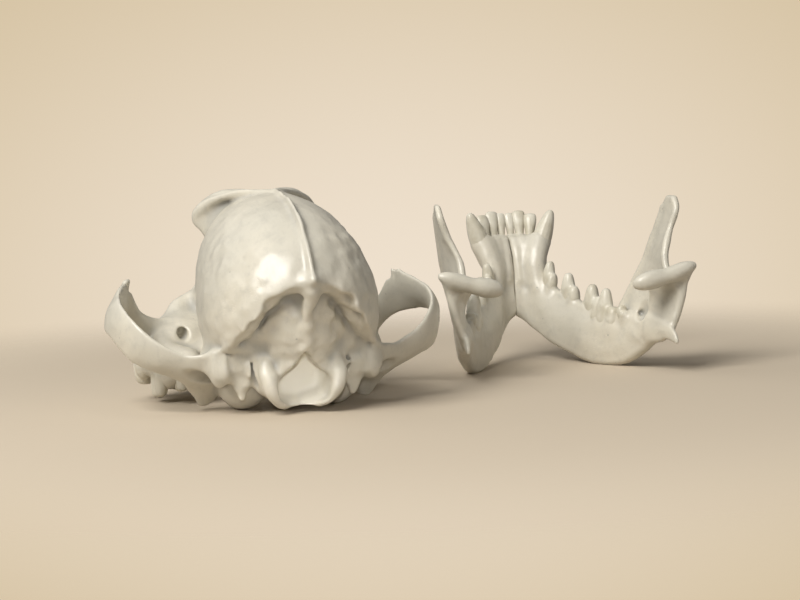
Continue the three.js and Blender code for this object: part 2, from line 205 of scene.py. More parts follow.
class Clay:
    def __init__(self, low, high, voxel):
        self.voxel = voxel
        self.low = np.array(low, float)
        self.axes = [np.arange(a, b, voxel, dtype=np.float32) for a, b in zip(low, high)]
        self.field = np.full([len(a) for a in self.axes], 9, np.float32)

    def window(self, shape, margin):
        cut = []
        for i in range(3):
            first = int((shape[0][i] - margin - self.low[i]) / self.voxel)
            last = int((shape[1][i] + margin - self.low[i]) / self.voxel) + 2
            cut.append(slice(max(first, 0), max(last, 0)))
        x, y, z = (self.axes[i][cut[i]] for i in range(3))
        return tuple(cut), shape[2](x[:, None, None], y[None, :, None], z[None, None, :])

    def press(self, shape, blend):
        cut, far = self.window(shape, blend + 2 * self.voxel)
        self.field[cut] = smoothMin(self.field[cut], far, blend)

    def carve(self, shape, blend):
        cut, far = self.window(shape, blend + 2 * self.voxel)
        self.field[cut] = -smoothMin(-self.field[cut], far, blend)

    def mirror(self):
        # the block's first slice is the middle plane
        self.field = np.concatenate([self.field[:0:-1], self.field])
        self.axes[0] = np.concatenate([-self.axes[0][:0:-1], self.axes[0]])
        self.low[0] = self.axes[0][0]

    def roughen(self, size, depth, seed, where=None, fade=4.0):
        # lumps of one size, all over or inside one zone
        lumps = np.random.default_rng(seed).uniform(
            -1, 1, [int(n * self.voxel / size) + 3 for n in self.field.shape]).astype(np.float32)
        for axis, count in enumerate(self.field.shape):
            place = np.arange(count) * self.voxel / size
            first = place.astype(int)
            t = place - first
            t = (t * t * (3 - 2 * t)).astype(np.float32)
            t = t.reshape([-1 if a == axis else 1 for a in range(3)])
            lumps = lumps.take(first, axis) * (1 - t) + lumps.take(first + 1, axis) * t
        if where is None:
            self.field += depth * lumps
            return
        cut, far = self.window(where, 0)
        self.field[cut] += depth * lumps[cut] * np.clip(-far / fade, 0, 1)

    def soften(self, reach):
        # evens out what has been pressed so far
        width = max(int(round(reach / self.voxel)), 1)
        for axis in range(3):
            pads = [(width, width) if a == axis else (0, 0) for a in range(3)]
            total = 0
            padded = np.pad(self.field, pads, mode="reflect")
            for step in range(2 * width + 1):
                share = (width + 1 - abs(step - width)) / (width + 1) ** 2
                total = total + share * padded.take(range(step, step + self.field.shape[axis]), axis)
            self.field = total.astype(np.float32)

    def stand(self):
        # worn flat where it would reach below the table
        self.field = np.maximum(self.field, -self.axes[2][None, None, :])

    def mesh(self, name, place, most):
        grid = openvdb.FloatGrid(9)
        grid.copyFromArray(np.pad(self.field, 1, constant_values=9).astype(np.float32))
        points, triangles, quads = grid.convertToPolygons(0.0, 0.0)
        points = (points - 1) * self.voxel + self.low
        data = bpy.data.meshes.new(name)
        data.from_pydata(points.tolist(), [], quads.tolist() + triangles.tolist())
        data.transform(place)
        piece = bpy.data.objects.new(name, data)
        bpy.context.scene.collection.objects.link(piece)
        activate(piece)
        count = 2 * len(quads) + len(triangles)
        if count > most:
            bpy.ops.object.modifier_add(type="DECIMATE")
            piece.modifiers[-1].ratio = most / count
            bpy.ops.object.modifier_apply(modifier=piece.modifiers[-1].name)
        bpy.ops.object.shade_smooth()
        return piece


def activate(piece):
    bpy.ops.object.select_all(action="DESELECT")
    piece.select_set(True)
    bpy.context.view_layer.objects.active = piece


def press(shape, blend):
    return "press", shape, blend


def carve(shape, blend):
    return "carve", shape, blend


def soften(reach):
    return "soften", reach


def work(clay, form):
    for action, *how in form.values():
        getattr(clay, action)(*how)


# Teeth: where each stands, half width, half length and height, lean and turn, in the axes of its bone
def stand(crown, at, size, lean, turn=0):
    return {"crown": crown, "at": at, "size": size, "lean": lean, "turn": turn}


upperTeeth = {
    "incisor1": stand("incisor", (2.3, 100, 25), (2.1, 2, 7), (0, 0.3, -1)),
    "incisor2": stand("incisor", (6.8, 98.8, 24.6), (2.2, 2.2, 7.4), (0.1, 0.3, -1), -14),
    "incisor3": stand("incisor", (11.6, 96.4, 23.6), (2.5, 2.7, 8.6), (0.25, 0.25, -1), -34),
    "canine": stand("canine", (19.6, 91.4, 21.6), (3.2, 4.2, 14), (0.3, 0.12, -1)),
    "premolar2": stand("premolar", (25, 86, 19.4), (2.1, 3.2, 5.4), (0.1, 0, -1), 40),
    "premolar3": stand("premolar", (29, 79.6, 16.6), (2.3, 3.9, 6.6), (0.1, 0, -1), 28),
    "premolar4": stand("shear", (38.8, 66.2, 11.6), (5, 6.6, 6.4), (0.1, 0, -1), 12),
    "molar1": stand("grinder", (33.2, 56.6, 8.6), (5.8, 5.2, 7.4), (0.05, 0, -1)),
    "molar2": stand("grinder", (27.8, 49, 8.8), (4.8, 3.8, 5), (0.05, 0, -1)),
}
lowerTeeth = {
    "incisor1": stand("incisor", (1.8, 91.2, 46), (2.1, 1.8, 9.4), (0, 0.26, 1)),
    "incisor2": stand("incisor", (5.2, 90.6, 46), (2.7, 2.1, 10.2), (0.02, 0.26, 1), -8),
    "incisor3": stand("incisor", (8.7, 88.8, 45.2), (2.65, 2.3, 9.8), (0.1, 0.26, 1), -18),
    "canine": stand("canine", (11.8, 84.8, 43.6), (3.9, 4.2, 13), (0.36, 0.1, 1)),
    "premolar2": stand("premolar", (11.6, 74.2, 29), (2.6, 4.2, 8), (0.12, 0, 1), 20),
    "premolar3": stand("premolar", (17, 65.6, 23.8), (2.8, 5.4, 9), (0, 0.02, 1), 22),
    "premolar4": stand("premolar", (22.6, 54.8, 20), (3, 5.6, 9), (0.03, 0, 1), 22),
    "molar1": stand("notched", (24.8, 45.4, 16.8), (3.4, 7.6, 11.2), (0.06, 0, 1), 20),
    "molar2": stand("premolar", (28.4, 37, 18.8), (2.4, 3, 3.4), (0, 0, 1), 14),
}
singleRoots = ("incisor", "canine")


def sockets(clay, teeth, swell):
    # each root raises the bone round it
    for tooth in teeth.values():
        at = np.array(tooth["at"], float)
        lean = np.array(tooth["lean"], float)
        lean = lean / np.linalg.norm(lean)
        wide, long, tall = tooth["size"]
        turn = math.radians(tooth["turn"])
        along = np.array((-math.sin(turn), math.cos(turn), 0)) * long * 0.5
        for side in (0,) if tooth["crown"] in singleRoots else (1, -1):
            neck = at + side * along
            deep = neck - lean * tall * 1.1
            thick = swell * (min(wide, long) if side == 0 else 0.8 * wide)
            root = [(*neck, thick), (*(neck + deep) / 2, thick * 0.9), (*deep, thick * 0.5)]
            clay.press(rope(root), 1.6)


# Cranium
crestLine = [
    (0, -14, 43), (4.4, -9.8, 41), (8.7, -7.4, 38.4), (12.3, -4, 34.6), (15.6, -1.4, 30.1),
    (18.9, 2, 26), (22.6, 5.4, 22.2), (26.6, 11.8, 19.9), (40, 16, 14),
]
craniumForm = {
    "brainLow": press(ball((0, 22, 30), (29.4, 33, 28), low=(29.4, 33, 20)), 1),
    "brainRear": press(ball((0, 16, 36), (24, 28, 26.5)), 6),
    "brainMiddle": press(ball((0, 26, 40), (24.5, 27, 26.6)), 6),
    "brainFront": press(ball((0, 40, 41.5), (25.5, 29, 27.2)), 6),
    "forehead": press(ball((0, 61, 50), (17.5, 20, 18.5), pitch=-8), 7),
    "waist": press(ball((0, 58, 33), (14.5, 24, 22)), 6),
    "noseRoot": press(ball((0, 78, 38), (18, 16, 15), pitch=-30), 6),
    "noseSides": press(ball((0, 86, 30), (20.5, 11, 11), pitch=20), 5),
    "noseBridge": press(ball((0, 81, 46.5), (9, 13, 6.5), pitch=-42), 4),
    "evened": soften(7),
    "toothArch": press(blade([
        ((27.6, 43.5, 16), (27.6, 46, 8.8), 3),
        ((32, 54, 18), (33.2, 55, 7.8), 4.2),
        ((33.6, 66, 22), (38.4, 66, 10.8), 4.2),
        ((27.4, 76, 25), (30.4, 77.5, 15.4), 4),
        ((22.6, 86.5, 31), (23.2, 88.4, 19.8), 4.4),
        ((11.4, 93.4, 34), (11.6, 97, 23.8), 3.8),
        ((0, 94.6, 35), (0, 100, 25.2), 3.4)], rim=2.4), 4),
    "toothHeel": press(ball((27.5, 51, 13), (4.6, 8, 5), yaw=8), 4),
    "palate": press(ball((0, 72, 21.5), (30.5, 25, 4.6), pitch=19), 4),
    "cheek": press(ball((27, 72, 20.6), (9.6, 12, 6.4), yaw=12), 5),
    "brow": press(blade([
        ((3, 64, 67), (4, 50, 66), 3.2),
        ((12, 66.6, 67.6), (11.6, 58.5, 67), 2.2),
        ((17.6, 67.2, 64.6), (16.8, 62, 64.4), 1.6),
        ((20.2, 66.6, 60.8), (19.8, 64.4, 61), 1.1)], rim=0.8), 3),
    "orbit": carve(ball((33.5, 73.5, 44), (16.5, 17.5, 16.5), yaw=-12), 3),
    "temple": carve(ball((25.5, 61, 43), (9, 12, 15)), 4),
    "cheekDip": carve(ball((33, 63.5, 35.6), (8, 11, 10)), 3),
    "browWeb": press(blade([
        ((7, 57, 67), (7, 56.4, 46), 2.0),
        ((13, 60, 66.4), (13, 59.6, 49.4), 1.9),
        ((16.2, 62.2, 64.6), (16.4, 61.8, 53.4), 1.6),
        ((18.8, 64.2, 62), (19.1, 63.8, 56.6), 1.3),
        ((20.4, 65.2, 60.2), (20.6, 64.8, 58.2), 0.9)], rim=0.8), 2.4),
    "foreheadFurrow": carve(rope([
        (0, 48, 73.5, 3.5), (0, 62, 74, 5), (0, 76, 67, 4.5), (0, 84, 55.5, 3)]), 4),
    "earRoot": press(ball((19, 22, 16), (10.5, 10, 6.5)), 5),
    "baseRear": press(ball((0, 20, 8), (12, 16, 5.6)), 4),
    "baseFront": press(ball((0, 42, 15), (11, 18, 6), pitch=8), 4),
    "crestFlare": press(blade([
        ((0, -12.4, 43.8), (0, -2, 42), 1.5),
        ((4.4, -8, 42), (4, 0, 41), 1.4),
        ((8.8, -5.6, 39.4), (8, 3, 39), 1.4),
        ((12.4, -2.2, 35.6), (11, 6, 36), 1.4),
        ((15.6, 0.4, 31.2), (14, 8, 32), 1.4),
        ((18.8, 3.8, 27), (17, 11, 27.4), 1.3),
        ((22.6, 7.2, 23.2), (21, 13, 22.6), 1.3)], rim=0.6), 3),
    "occipitalHollow": carve(under(crestLine, ball((36.45, -64.6, -8.55), (80, 80, 80))), 0.5),
    "occipitalBoss": press(ball((0, 7, 26), (12.5, 9.6, 13), pitch=26), 3.5),
    "exoccipital": press(ball((0, 10.4, 13), (16.5, 7.2, 10)), 3.5),
    "underCrest": carve(ball((8, -7.4, 35), (6.5, 4, 3.4)), 1.2),
    "muscleHollow": carve(ball((13.5, -2.4, 27), (5, 3.4, 5.5)), 1.8),
    "condyleHollow": carve(ball((14, 2.6, 20.4), (4.2, 3.2, 3.6)), 1.4),
    "middleRidge": press(rope([
        (0, -10.5, 39, 1.4), (0, -6.5, 33, 1.6), (0, -3, 27, 1.8), (0, -1.4, 23, 1.5)]), 2.5),
    "crestGroove": carve(rope([
        (3, -7.2, 38, 1.3), (8.8, -2.8, 35.2, 2.0), (12.6, 0.6, 31.6, 2.1),
        (16, 3.4, 27.2, 1.9), (19.4, 6.4, 23.2, 1.3)]), 1),
    "nuchalCrest": press(blade([
        ((0, -14, 43.2), (0, -6, 39.6), 1.1),
        ((4.5, -9.6, 41.4), (4, -3, 39), 1.0),
        ((8.8, -7.2, 38.8), (8, 0, 37), 1.0),
        ((12.5, -3.8, 35), (11, 3, 34), 1.0),
        ((15.8, -1.2, 30.5), (14, 5, 30), 1.0),
        ((19.2, 2.2, 26.4), (17, 8, 25.6), 1.0),
        ((23, 5.6, 22.6), (21, 11, 21), 1.1),
        ((27, 12, 20.3), (25, 16, 17), 1.3)], rim=0.5), 1.4),
    "sagittalCrest": press(blade([
        ((0, -14.2, 43), (0, -6, 39), 1.3),
        ((0, -9.8, 49.6), (0, -3, 45), 1.2),
        ((0, -5.2, 54.8), (0, 1, 50), 1.2),
        ((0, 1.9, 61.4), (0, 6, 56), 1.1),
        ((0, 10.7, 66), (0, 13, 60), 1),
        ((0, 22.6, 68.9), (0, 23, 63), 1),
        ((0, 34, 69.5), (0, 34, 64), 0.8)], rim=0.4), 1.3),
    "templeLine": press(rope([
        (0, 34, 68.6, 0.8), (4, 43, 69, 0.9), (9.5, 52, 68.4, 1.1),
        (15.5, 59, 66.2, 1.3), (20, 64.5, 62, 1.1)]), 2.4),
    "condyle": press(rope([
        (11.4, 6.4, 17, 2), (11.3, 4.4, 13.2, 2.7), (10.2, 3.8, 8.6, 2.8),
        (7.6, 5.2, 4.8, 2.4), (5.9, 7, 3.2, 1.5)]), 1.0),
    "doorRim": press(rope([(0, 8.6, 3.4, 0.9), (3, 8.2, 3, 0.9), (5.4, 7.4, 2.8, 1)]), 1.2),
    "mastoid": press(ball((24, 13.5, 15), (4.2, 5, 6)), 3),
    "jugularProcess": press(blade([
        ((23, 12.5, 17), (16, 10.5, 17), 2.2),
        ((21.4, 12.6, 11), (15.8, 11.4, 11), 1.8),
        ((19.6, 12.8, 7.2), (16.5, 11.9, 7.2), 1.4),
        ((18.9, 12.6, 5.2), (17, 12.2, 5.2), 1.1)], rim=0.7), 1.4),
    "jugularGroove": carve(rope([(14.8, 9, 16, 1.2), (14.6, 9, 10, 1.3), (14.2, 10, 4, 1.2)]), 1.2),
    "bulla": press(ball((15, 25, 8.1), (8, 9, 7.9), yaw=-18), 1.4),
    "mastoidGroove": carve(rope([(22.6, 8.4, 20, 0.8), (21.6, 8.6, 15, 1.2), (20, 9.6, 9, 0.9)]), 1),
    "cheekArch": press(blade([
        ((21, 12, 20), (24, 27, 9.6), 3.2),
        ((28, 13.9, 19.4), (31, 25.5, 8.8), 2.6),
        ((34.6, 17.2, 19.4), (37, 24.4, 11.4), 2.1),
        ((41.8, 19.8, 23.2), (43.6, 24.6, 14.2), 1.9),
        ((47.5, 23.6, 28.4), (49.4, 27.6, 16.8), 1.8),
        ((50.4, 29, 32.6), (52.9, 32.2, 21.2), 1.7),
        ((51.2, 36, 35.4), (55.1, 38, 24.8), 1.7),
        ((50.4, 44.5, 37.5), (54.8, 45.5, 27), 1.7),
        ((48.4, 52, 39.2), (51.7, 53.5, 27), 1.6),
        ((45.6, 58.4, 40.2), (46.6, 59.6, 25.2), 1.4),
        ((41.6, 63.2, 31), (41.6, 62.6, 20.4), 1.9),
        ((35.4, 69, 27), (36.4, 64, 13.8), 2.8),
        ((29, 73, 25), (31.8, 66, 12), 3.4)], rim=0.5), 2),
    "cheekHook": press(rope([(47, 56.6, 39, 0.8), (45.9, 58.2, 40, 0.7), (44.8, 59, 41.1, 0.45)]), 0.8),
    "cheekBite": carve(ball((44.2, 59.8, 38.6), (1.5, 2, 1.5)), 0.6),
    "jawStop": press(blade([
        ((20.5, 24.5, 12), (35, 23.6, 13.4), 3),
        ((21.2, 28, 7.4), (32.4, 27.2, 8.2), 2.3),
        ((23, 30, 4.2), (30, 29.8, 4.4), 1.8),
        ((25.2, 30.6, 2.4), (28.6, 30.5, 2.4), 1.3)], rim=0.8), 2.2),
    "jawJoint": carve(rope([(24, 37.4, 7.2, 5.6), (36, 33.4, 7.4, 5.4), (46, 34.4, 11, 4.8)]), 1.6),
    "pterygoid": press(blade([
        ((11.4, 62, 20), (11.2, 50, 16), 1.6),
        ((11.2, 54, 12), (11, 45, 9), 1.3),
        ((10.8, 49, 6.4), (10.6, 43.6, 5.4), 1)], rim=0.5), 1.8),
    "throat": carve(rope([(0, 40, 5.5, 5.5), (0, 52, 9.5, 6.8), (0, 62, 15, 6), (0, 72, 22, 5.4)]), 1.5),
    "brainDoor": carve(doorway([
        (1.5, -1.5), (2.9, 3), (3.6, 5.6), (4.6, 7.2), (6.5, 8.1), (9, 8.5), (10.6, 8.5), (12, 7.8),
        (13, 6.8), (14.2, 5), (15.4, 3.4), (16.8, 2.2), (18.4, 1.5), (19.8, 0.9), (20.7, 0), (23, -2),
    ], 7, 0.42, 14), 0.7),
    "earHole": carve(rope([(34, 17, 11.5, 3), (22, 21.5, 11.2, 2.6)]), 0.8),
    "eyeCanal": carve(rope([
        (31, 96, 21.5, 2.6), (28.5, 86, 22.8, 2.3), (27.4, 76, 22.8, 2.2)]), 0.7),
    "eyeDoor": carve(rope([(26.8, 54, 21.6, 2.6), (27.1, 60, 22.2, 2.1), (27.2, 64, 22.4, 1.8)]), 0.8),
}
noseForm = {
    # opened after the tooth roots are in, with the thin wall that parts it
    "nostrils": carve(ball((0, 98, 37), (8.4, 14, 9), pitch=28), 1.6),
    "vomer": press(blade([
        ((0, 83, 42), (0, 83, 28), 0.9),
        ((0, 89.5, 42), (0, 90, 28), 0.7),
        ((0, 92, 37), (0, 93.5, 28), 0.6)], rim=0.5), 0.8),
}
craniumFinish = {
    "voxel": 0.5,
    "low": (0, -20, -3),
    "high": (62, 112, 76),
    "rootSwell": 0.85,
    "mostTriangles": 190000,
}
templeRight = ball((16, 10, 46), (18, 34, 24))
templeLeft = ball((-20, 10, 40), (16, 34, 24))
craniumGrain = {
    # size of the lumps, their depth, seed, the zone that they cover and how they fade in it
    "waves": (7.0, 0.24, 3, None, 1),
    "ripple": (3.2, 0.11, 4, None, 1),
    "occiput": (5.0, 0.5, 5, ball((0, -2, 24), (28, 16, 22)), 6),
    "neckMarks": (2.6, 0.55, 6, ball((0, -2, 24), (22, 12, 18)), 5),
    "earMarks": (3.0, 0.75, 8, ball((21, 10, 15), (9, 9, 11)), 4),
    "earMarksLeft": (3.0, 0.75, 9, ball((-21, 10, 15), (9, 9, 11)), 4),
    "cheekTip": (1.6, 0.5, 6, ball((46, 58, 40), (6, 5, 4)), 2),
    "cheekTipLeft": (1.6, 0.5, 7, ball((-46, 58, 40), (6, 5, 4)), 2),
    "temple": (3.4, 0.32, 10, templeRight, 12),
    "templeFine": (2.0, 0.15, 14, templeRight, 12),
    "templeLeft": (3.4, 0.32, 12, templeLeft, 12),
    "templeLeftFine": (2.0, 0.15, 13, templeLeft, 12),
}


def makeCranium():
    clay = Clay(craniumFinish["low"], craniumFinish["high"], craniumFinish["voxel"])
    work(clay, craniumForm)
    sockets(clay, upperTeeth, craniumFinish["rootSwell"])
    work(clay, noseForm)
    clay.mirror()
    clay.soften(0.5)
    for grain in craniumGrain.values():
        clay.roughen(*grain)
    clay.stand()
    return clay.mesh("cranium", craniumMatrix, craniumFinish["mostTriangles"])


cranium = makeCranium()
print("cranium", len(cranium.data.polygons))

# Lower jaw, one half and its twin
jawForm = {
    "body": press(blade([
        ((-2, 90.2, 45.6), (-2, 81.6, 18.2), 4.2),
        ((4.6, 89.2, 45.8), (4, 79.2, 14.8), 4.2),
        ((8.2, 85.4, 44), (8, 74.6, 10.4), 3.7),
        ((11.2, 76.6, 29), (12, 66.6, 6.6), 3.8),
        ((17, 66.4, 23.8), (16.4, 60, 3.6), 4.0),
        ((22.4, 55.5, 19.8), (20.6, 51.5, 1), 4.2),
        ((26, 46.5, 17), (25, 44, 0.3), 4.1),
        ((29.4, 39.5, 18.4), (29, 37, 1.3), 3.5),
        ((33, 30, 18), (33, 27.5, 6), 2.8),
        ((35, 21, 18), (35.4, 17, 11.8), 2.0)], rim=1.9), 2),
    "ramus": press(blade([
        ((28.6, 46, 14), (36, 14, 11), 2.4),
        ((30.6, 44.8, 19), (38.2, 9.6, 17.5), 2.0),
        ((32.8, 43.3, 24), (40, 8.8, 23), 1.8),
        ((34.8, 41, 29), (40.6, 9, 29), 1.6),
        ((36.6, 38.4, 34), (37.4, 10.4, 34), 1.4),
        ((39, 35, 43), (37.2, 13.8, 42), 1.2),
        ((40.8, 31, 51.6), (40.6, 16.8, 50.6), 1.0),
        ((41.8, 28.6, 57.4), (42.8, 16.8, 57), 1.1),
        ((42.4, 26, 61), (43.2, 19.4, 60.8), 1.0)], rim=0.9), 2.4),
    "condyle": press(rope([
        (25, 8.6, 31.9, 1.9), (26.6, 8.4, 32.4, 2.9), (30, 8.2, 33.1, 3.4), (34.5, 8, 34, 2.8),
        (38.6, 8, 35.2, 3.0), (42.6, 8, 36.6, 2.6), (45, 8, 37.5, 1.6)]), 1.6),
    "rootRidge1": press(rope([
        (1.9, 86.8, 44.6, 1.3), (1.9, 83.8, 40, 1.6), (2, 81.6, 35, 1.2), (2.2, 80, 30, 0.6)]), 2.2),
    "rootRidge2": press(rope([
        (5.2, 86.4, 44.8, 1.6), (5.2, 83.2, 40, 1.8), (5.2, 81, 35, 1.4), (5, 79.4, 29, 0.6)]), 2.2),
    "rootRidge3": press(rope([
        (8.4, 85, 44, 1.8), (7.8, 82, 39, 1.9), (7.2, 79.6, 34, 1.4), (6.8, 77.8, 28, 0.6)]), 2.2),
    "canineRidge": press(rope([
        (11.6, 84.4, 44.4, 3.9), (10, 82, 40, 3.7), (8.4, 79.4, 34.4, 2.9), (7.8, 76.6, 27, 1.4)]), 2.6),
    "condyleNeck": press(blade([
        ((32, 19, 31.5), (43.6, 8.4, 33.5), 2.0),
        ((34, 22, 26.5), (42, 8.2, 27), 1.7),
        ((34.8, 25, 20), (39.4, 8.4, 20), 1.5),
        ((34.4, 26, 15), (37.6, 8.4, 15.6), 1.4)], rim=0.8), 3),
    "angularProcess": press(blade([
        ((33.6, 22, 19), (33.4, 22, 10.6), 1.9),
        ((36, 12, 17), (35.8, 12, 12), 1.5),
        ((37.1, 7, 15.6), (37, 7, 11.2), 1.0),
        ((37.4, 4.4, 13.2), (37.4, 4, 10.4), 0.8)], rim=0.7), 1.8),
    "frontEdge": press(rope([
        (28.6, 45, 14, 2.3), (32.4, 42.2, 24, 2.0), (36, 37.4, 34, 1.7),
        (38.6, 33.8, 43, 1.4), (40.4, 30, 51.5, 1.2), (41.6, 28, 57.2, 1)]), 2),
    "rearEdge": press(rope([
        (36.6, 12, 36.5, 1), (37.2, 14.2, 42.4, 1), (40.4, 17.2, 50.4, 1),
        (42.7, 17.2, 56.6, 1), (43, 19.8, 60.4, 0.9)]), 1.4),
    "molarShelf": press(ball((24.4, 46, 13.4), (2.7, 9, 4.4), yaw=20), 2.4),
    "chewingHollow": carve(ball((48, 27, 27), (9.2, 12, 14)), 3),
    "nerveDoor": carve(ball((32.4, 27, 21.5), (2.6, 4.2, 4.4)), 0.8),
    "nerveCanal": carve(rope([(31.8, 24.6, 22.2, 2), (32.8, 27.6, 21, 1.8), (33.5, 31, 19.6, 1.2)]), 0.6),
    "chinHole": carve(rope([(22, 74, 17, 1.2), (12, 72, 16, 0.8)]), 0.6),
}
jawFinish = {
    "voxel": 0.5,
    "low": (-4, -2, -3),
    "high": (52, 102, 66),
    "rootSwell": 0.9,
    "suture": 0.05,  # half the gap between the two halves
    "mostTriangles": 120000,
}
jawGrain = {"waves": (6.0, 0.2, 11), "ripple": (2.8, 0.1, 21)}  # size of the lumps, depth and seed


def makeJaw(side):
    clay = Clay(jawFinish["low"], jawFinish["high"], jawFinish["voxel"])
    work(clay, jawForm)
    sockets(clay, lowerTeeth, jawFinish["rootSwell"])
    clay.soften(0.5)
    face = clay.axes[0][:, None, None] - jawFinish["suture"]
    clay.field = -smoothMin(-clay.field, np.broadcast_to(face, clay.field.shape), 0.4)
    for size, depth, seed in jawGrain.values():
        clay.roughen(size, depth, seed + side)
    clay.stand()
    name = "jawRight" if side == 1 else "jawLeft"
    place = jawMatrix @ Matrix.Scale(side, 4, (1, 0, 0))
    piece = clay.mesh(name, place, jawFinish["mostTriangles"])
    if side == -1:
        piece.data.flip_normals()
    return piece


jawRight = makeJaw(1)
jawLeft = makeJaw(-1)
print("lower jaw", len(jawRight.data.polygons), len(jawLeft.data.polygons))

# Crowns, each drawn up from rings of (height, width, length, shift along the row) at a place on the tooth
crownForm = {
    "incisor": [
        ((0, 0), [
            (-0.5, 0.5, 0.6, 0), (0, 0.58, 0.8, 0), (0.3, 0.68, 0.9, 0), (0.55, 0.92, 0.9, 0),
            (0.8, 1, 0.75, 0), (0.93, 0.9, 0.55, 0), (1, 0.6, 0.3, 0)]),
    ],
    "canine": [
        ((0, 0), [
            (-0.5, 0.8, 0.85, 0.05), (0, 0.95, 1, 0), (0.25, 0.95, 0.96, -0.02), (0.5, 0.82, 0.82, -0.08),
            (0.75, 0.62, 0.6, -0.18), (0.92, 0.42, 0.4, -0.28), (1, 0.2, 0.2, -0.33)]),
    ],
    "premolar": [
        ((0, 0.06), [
            (-0.5, 0.6, 0.5, 0), (0, 0.85, 0.62, 0), (0.35, 0.92, 0.58, 0), (0.65, 0.8, 0.46, -0.03),
            (0.88, 0.62, 0.34, -0.06), (1, 0.36, 0.2, -0.07)]),
        ((0, -0.6), [
            (-0.5, 0.6, 0.3, 0), (0, 0.85, 0.38, 0), (0.28, 0.75, 0.34, 0), (0.45, 0.4, 0.2, 0)]),
        ((0, 0.66), [
            (-0.4, 0.5, 0.26, 0), (0, 0.78, 0.32, 0), (0.24, 0.55, 0.24, 0), (0.34, 0.3, 0.14, 0)]),
    ],
    "shear": [
        ((0.1, 0.15), [
            (-0.5, 0.6, 0.4, 0), (0, 0.85, 0.48, 0), (0.35, 0.78, 0.4, 0), (0.7, 0.66, 0.36, -0.03),
            (0.93, 0.46, 0.25, -0.06), (1, 0.26, 0.14, -0.07)]),
        ((0.1, -0.5), [
            (-0.5, 0.5, 0.4, 0), (0, 0.75, 0.46, 0), (0.35, 0.6, 0.4, 0), (0.6, 0.35, 0.24, 0),
            (0.68, 0.15, 0.1, 0)]),
        ((-0.7, 0.6), [
            (-0.5, 0.4, 0.22, 0), (0, 0.62, 0.3, 0), (0.3, 0.45, 0.22, 0), (0.45, 0.2, 0.1, 0)]),
        ((0.1, 0.72), [(-0.4, 0.5, 0.24, 0), (0, 0.7, 0.27, 0), (0.3, 0.4, 0.16, 0)]),
    ],
    "grinder": [
        ((0.5, 0.46), [
            (-0.5, 0.3, 0.4, 0), (0, 0.5, 0.5, 0), (0.5, 0.45, 0.46, 0), (0.85, 0.38, 0.38, 0),
            (1, 0.22, 0.22, 0)]),
        ((0.5, -0.44), [
            (-0.5, 0.3, 0.4, 0), (0, 0.5, 0.5, 0), (0.45, 0.42, 0.44, 0), (0.75, 0.36, 0.36, 0),
            (0.88, 0.2, 0.2, 0)]),
        ((-0.4, 0.05), [
            (-0.5, 0.4, 0.5, 0), (0, 0.62, 0.72, 0), (0.3, 0.6, 0.66, 0), (0.5, 0.4, 0.42, 0),
            (0.6, 0.16, 0.18, 0)]),
        ((-0.75, 0), [
            (-0.4, 0.2, 0.4, 0), (0, 0.26, 0.6, 0), (0.3, 0.24, 0.5, 0), (0.42, 0.12, 0.3, 0)]),
    ],
    "notched": [
        ((0, 0.62), [
            (-0.25, 0.6, 0.34, 0), (0, 0.85, 0.4, 0), (0.35, 0.7, 0.34, 0), (0.6, 0.42, 0.2, 0),
            (0.72, 0.2, 0.1, 0)]),
        ((0, 0.08), [
            (-0.25, 0.7, 0.4, 0), (0, 0.9, 0.46, 0), (0.4, 0.85, 0.42, 0), (0.75, 0.66, 0.3, -0.02),
            (0.94, 0.46, 0.2, -0.03), (1, 0.26, 0.12, -0.03)]),
        ((0, -0.6), [
            (-0.25, 0.7, 0.34, 0), (0, 0.9, 0.4, 0), (0.3, 0.8, 0.36, 0), (0.42, 0.5, 0.2, 0)]),
    ],
}
crownFinish = {"sides": 14, "voxel": 0.085, "smoothing": 4}


def makeCrown(kind):
    bpy.ops.object.select_all(action="DESELECT")
    bpy.ops.mesh.primitive_circle_add(vertices=crownFinish["sides"], radius=1, location=(0, 0, 0))
    crown = bpy.context.object
    crown.name = kind
    bpy.ops.object.mode_set(mode="EDIT")
    bpy.ops.mesh.select_all(action="SELECT")
    bpy.ops.mesh.delete(type="VERT")
    for (x, y), rings in crownForm[kind]:
        bpy.ops.mesh.primitive_circle_add(
            vertices=crownFinish["sides"], radius=1, fill_type="NGON", location=(x, y, rings[0][0]))
        bpy.ops.transform.resize(value=(rings[0][1], rings[0][2], 1))
        for before, ring in zip(rings[:-1], rings[1:]):
            rise = (0, ring[3] - before[3], ring[0] - before[0])
            bpy.ops.mesh.extrude_region_move(TRANSFORM_OT_translate={"value": rise})
            bpy.ops.transform.resize(value=(ring[1] / before[1], ring[2] / before[2], 1))
    bpy.ops.mesh.select_all(action="SELECT")
    bpy.ops.mesh.normals_make_consistent(inside=False)
    bpy.ops.object.mode_set(mode="OBJECT")
    bpy.ops.object.modifier_add(type="REMESH")
    crown.modifiers[-1].mode = "VOXEL"
    crown.modifiers[-1].voxel_size = crownFinish["voxel"]
    bpy.ops.object.modifier_apply(modifier=crown.modifiers[-1].name)
    bpy.ops.object.modifier_add(type="SMOOTH")
    crown.modifiers[-1].factor = 0.5
    crown.modifiers[-1].iterations = crownFinish["smoothing"]
    bpy.ops.object.modifier_apply(modifier=crown.modifiers[-1].name)
    bpy.ops.object.shade_smooth()
    return crown


crowns = {kind: makeCrown(kind) for kind in crownForm}


